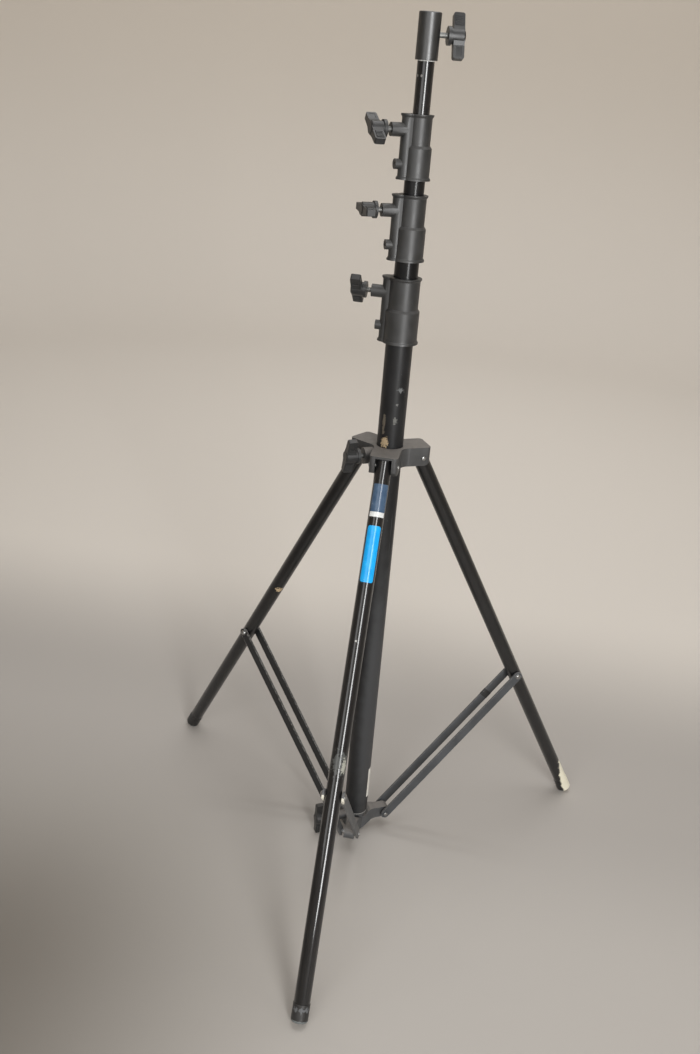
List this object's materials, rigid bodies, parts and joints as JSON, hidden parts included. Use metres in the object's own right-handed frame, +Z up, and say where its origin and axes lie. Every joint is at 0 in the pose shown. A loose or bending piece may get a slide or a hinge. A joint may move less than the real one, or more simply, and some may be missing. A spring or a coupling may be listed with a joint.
{
  "type": "lighting stand",
  "caption": "Tripod lighting stand with a telescopic tube mast, screw-clamp collars with wing knobs, a sliding leg crown, paired brace bars and a top spigot socket.",
  "frame": {"origin": "on the mast axis at floor level", "axes": "+Z up along the mast, -Y along the front leg, +X to the right as seen from the front"},
  "size_m": [0.6746, 0.5872, 1.1577],
  "materials": {
    "gloss_tube": "gloss black enamel",
    "collar_black": "satin black moulded",
    "casting_black": "satin black coated casting",
    "knob_black": "satin black moulded, ribbed wings",
    "bar_black": "satin black coated flat bar",
    "bright_steel": "zinc plated",
    "dark_steel": "black oxide",
    "brass_pad": "plain",
    "guide_plastic": "natural",
    "piston_plastic": "plain",
    "seal_rubber": "plain",
    "foot_rubber": "worn"
  },
  "bodies": {
    "base": {"base_tube": "gloss_tube", "base_collar": "collar_black", "base_bush": "guide_plastic", "base_collar_screw": "dark_steel", "lower_casting": "casting_black", "lower_pins": "bright_steel", "lower_plug": "casting_black"},
    "lower_screw": {"lower_screw": "bright_steel"},
    "lower_knob": {"lower_knob": "knob_black"},
    "base_shoe": {"base_shoe": "brass_pad"},
    "base_knob": {"base_knob": "knob_black", "base_screw": "bright_steel"},
    "crown": {"leg_crown": "casting_black", "hinge_pins": "bright_steel"},
    "crown_shoe": {"crown_shoe": "brass_pad"},
    "crown_knob": {"crown_knob": "knob_black", "crown_screw": "bright_steel"},
    "riser_one_seal": {"riser_one_seal": "seal_rubber"},
    "riser_one": {"riser_one_tube": "gloss_tube", "riser_one_piston": "piston_plastic", "riser_one_collar": "collar_black", "riser_one_bush": "guide_plastic", "riser_one_collar_screw": "dark_steel"},
    "riser_one_shoe": {"riser_one_shoe": "brass_pad"},
    "riser_one_knob": {"riser_one_knob": "knob_black", "riser_one_screw": "bright_steel"},
    "riser_two_seal": {"riser_two_seal": "seal_rubber"},
    "riser_two": {"riser_two_tube": "gloss_tube", "riser_two_piston": "piston_plastic", "riser_two_collar": "collar_black", "riser_two_bush": "guide_plastic", "riser_two_collar_screw": "dark_steel"},
    "riser_two_shoe": {"riser_two_shoe": "brass_pad"},
    "riser_two_knob": {"riser_two_knob": "knob_black", "riser_two_screw": "bright_steel"},
    "riser_three_seal": {"riser_three_seal": "seal_rubber"},
    "riser_three": {"riser_three_tube": "gloss_tube", "riser_three_piston": "piston_plastic", "spigot_socket": "collar_black"},
    "socket_shoe": {"socket_shoe": "brass_pad"},
    "socket_knob": {"socket_knob": "knob_black", "socket_screw": "bright_steel"},
    "front_leg": {"front_leg": "gloss_tube", "front_leg_plug": "piston_plastic", "front_foot": "foot_rubber"},
    "front_brace": {"front_bar_left": "bar_black", "front_bar_right": "bar_black", "front_rivets": "bright_steel"},
    "right_leg": {"right_leg": "gloss_tube", "right_leg_plug": "piston_plastic", "right_foot": "foot_rubber"},
    "right_brace": {"right_bar_left": "bar_black", "right_bar_right": "bar_black", "right_rivets": "bright_steel"},
    "left_leg": {"left_leg": "gloss_tube", "left_leg_plug": "piston_plastic", "left_foot": "foot_rubber"},
    "left_brace": {"left_bar_left": "bar_black", "left_bar_right": "bar_black", "left_rivets": "bright_steel"}
  },
  "joints": [
    {"name": "crown_slide", "type": "slide", "parent": "base", "child": "crown", "axis": [0, 0, 1], "range_m": [0, 0.1268]},
    {"name": "front_leg_hinge", "type": "hinge", "parent": "crown", "child": "front_leg", "pos_m": [0, -0.0427, 0.6246], "axis": [1, 0, 0], "range_deg": [0, 28.47]},
    {"name": "front_brace_hinge", "type": "hinge", "parent": "base", "child": "front_brace", "pos_m": [0, -0.046, 0.026], "axis": [-1, 0, 0], "range_deg": [0, 42.15]},
    {"name": "right_leg_hinge", "type": "hinge", "parent": "crown", "child": "right_leg", "pos_m": [0.03698, 0.02135, 0.6246], "axis": [-0.5, 0.866, 0], "range_deg": [0, 28.47]},
    {"name": "right_brace_hinge", "type": "hinge", "parent": "base", "child": "right_brace", "pos_m": [0.03984, 0.023, 0.026], "axis": [0.5, -0.866, 0], "range_deg": [0, 42.15]},
    {"name": "left_leg_hinge", "type": "hinge", "parent": "crown", "child": "left_leg", "pos_m": [-0.03698, 0.02135, 0.6246], "axis": [-0.5, -0.866, 0], "range_deg": [0, 28.47]},
    {"name": "left_brace_hinge", "type": "hinge", "parent": "base", "child": "left_brace", "pos_m": [-0.03984, 0.023, 0.026], "axis": [0.5, 0.866, 0], "range_deg": [0, 42.15]},
    {"name": "riser_one_slide", "type": "slide", "parent": "base", "child": "riser_one_seal", "axis": [0, 0, 1], "range_m": [-0.0205, 0.59]},
    {"name": "riser_one_swivel", "type": "hinge", "parent": "riser_one_seal", "child": "riser_one", "pos_m": [0, 0, 0.2], "axis": [0, 0, 1], "continuous": true},
    {"name": "riser_two_slide", "type": "slide", "parent": "riser_one", "child": "riser_two_seal", "axis": [0, 0, 1], "range_m": [-0.0165, 0.63]},
    {"name": "riser_two_swivel", "type": "hinge", "parent": "riser_two_seal", "child": "riser_two", "pos_m": [0, 0, 0.2], "axis": [0, 0, 1], "continuous": true},
    {"name": "riser_three_slide", "type": "slide", "parent": "riser_two", "child": "riser_three_seal", "axis": [0, 0, 1], "range_m": [-0.057, 0.625]},
    {"name": "riser_three_swivel", "type": "hinge", "parent": "riser_three_seal", "child": "riser_three", "pos_m": [0, 0, 0.2], "axis": [0, 0, 1], "continuous": true},
    {"name": "base_shoe_slide", "type": "slide", "parent": "base", "child": "base_shoe", "axis": [-1, 0, 0], "range_m": [0, 0.00125]},
    {"name": "base_knob_turn", "type": "hinge", "parent": "base_shoe", "child": "base_knob", "pos_m": [0, 0, 0.83953], "axis": [-1, 0, 0], "range_deg": [0, 360]},
    {"name": "riser_one_shoe_slide", "type": "slide", "parent": "riser_one", "child": "riser_one_shoe", "axis": [-0.9063, -0.4226, 0], "range_m": [0, 0.00125]},
    {"name": "riser_one_knob_turn", "type": "hinge", "parent": "riser_one_shoe", "child": "riser_one_knob", "pos_m": [0, 0, 0.93901], "axis": [-0.9063, -0.4226, 0], "range_deg": [0, 360]},
    {"name": "riser_two_shoe_slide", "type": "slide", "parent": "riser_two", "child": "riser_two_shoe", "axis": [-0.8829, -0.4695, 0], "range_m": [0, 0.00125]},
    {"name": "riser_two_knob_turn", "type": "hinge", "parent": "riser_two_shoe", "child": "riser_two_knob", "pos_m": [0, 0, 1.03011], "axis": [-0.8829, -0.4695, 0], "range_deg": [0, 360]},
    {"name": "socket_shoe_slide", "type": "slide", "parent": "riser_three", "child": "socket_shoe", "axis": [0.9511, 0.309, 0], "range_m": [-0.00125, 0.00125]},
    {"name": "socket_knob_turn", "type": "hinge", "parent": "socket_shoe", "child": "socket_knob", "pos_m": [0, 0, 1.1325], "axis": [0.9511, 0.309, 0], "range_deg": [-360, 360]},
    {"name": "crown_shoe_slide", "type": "slide", "parent": "crown", "child": "crown_shoe", "axis": [-0.866, -0.5, 0], "range_m": [0, 0.00125]},
    {"name": "crown_knob_turn", "type": "hinge", "parent": "crown_shoe", "child": "crown_knob", "pos_m": [0, 0, 0.6261], "axis": [-0.866, -0.5, 0], "range_deg": [0, 360]},
    {"name": "lower_screw_slide", "type": "slide", "parent": "base", "child": "lower_screw", "axis": [-0.866, -0.5, 0], "range_m": [0, 0.00125]},
    {"name": "lower_knob_turn", "type": "hinge", "parent": "lower_screw", "child": "lower_knob", "pos_m": [0, 0, 0.0284], "axis": [-0.866, -0.5, 0], "range_deg": [0, 360]}
  ],
  "couplings": [
    {"joint": "front_leg_hinge", "follows": "crown_slide", "rad_per_m": 3.9174},
    {"joint": "front_brace_hinge", "follows": "crown_slide", "rad_per_m": 5.8004},
    {"joint": "right_leg_hinge", "follows": "crown_slide", "rad_per_m": 3.9174},
    {"joint": "right_brace_hinge", "follows": "crown_slide", "rad_per_m": 5.8004},
    {"joint": "left_leg_hinge", "follows": "crown_slide", "rad_per_m": 3.9174},
    {"joint": "left_brace_hinge", "follows": "crown_slide", "rad_per_m": 5.8004},
    {"joint": "base_shoe_slide", "follows": "base_knob_turn", "m_per_rad": 0.00019894},
    {"joint": "riser_one_shoe_slide", "follows": "riser_one_knob_turn", "m_per_rad": 0.00019894},
    {"joint": "riser_two_shoe_slide", "follows": "riser_two_knob_turn", "m_per_rad": 0.00019894},
    {"joint": "socket_shoe_slide", "follows": "socket_knob_turn", "m_per_rad": 0.00019894},
    {"joint": "crown_shoe_slide", "follows": "crown_knob_turn", "m_per_rad": 0.00019894},
    {"joint": "lower_screw_slide", "follows": "lower_knob_turn", "m_per_rad": 0.00019894}
  ]
}
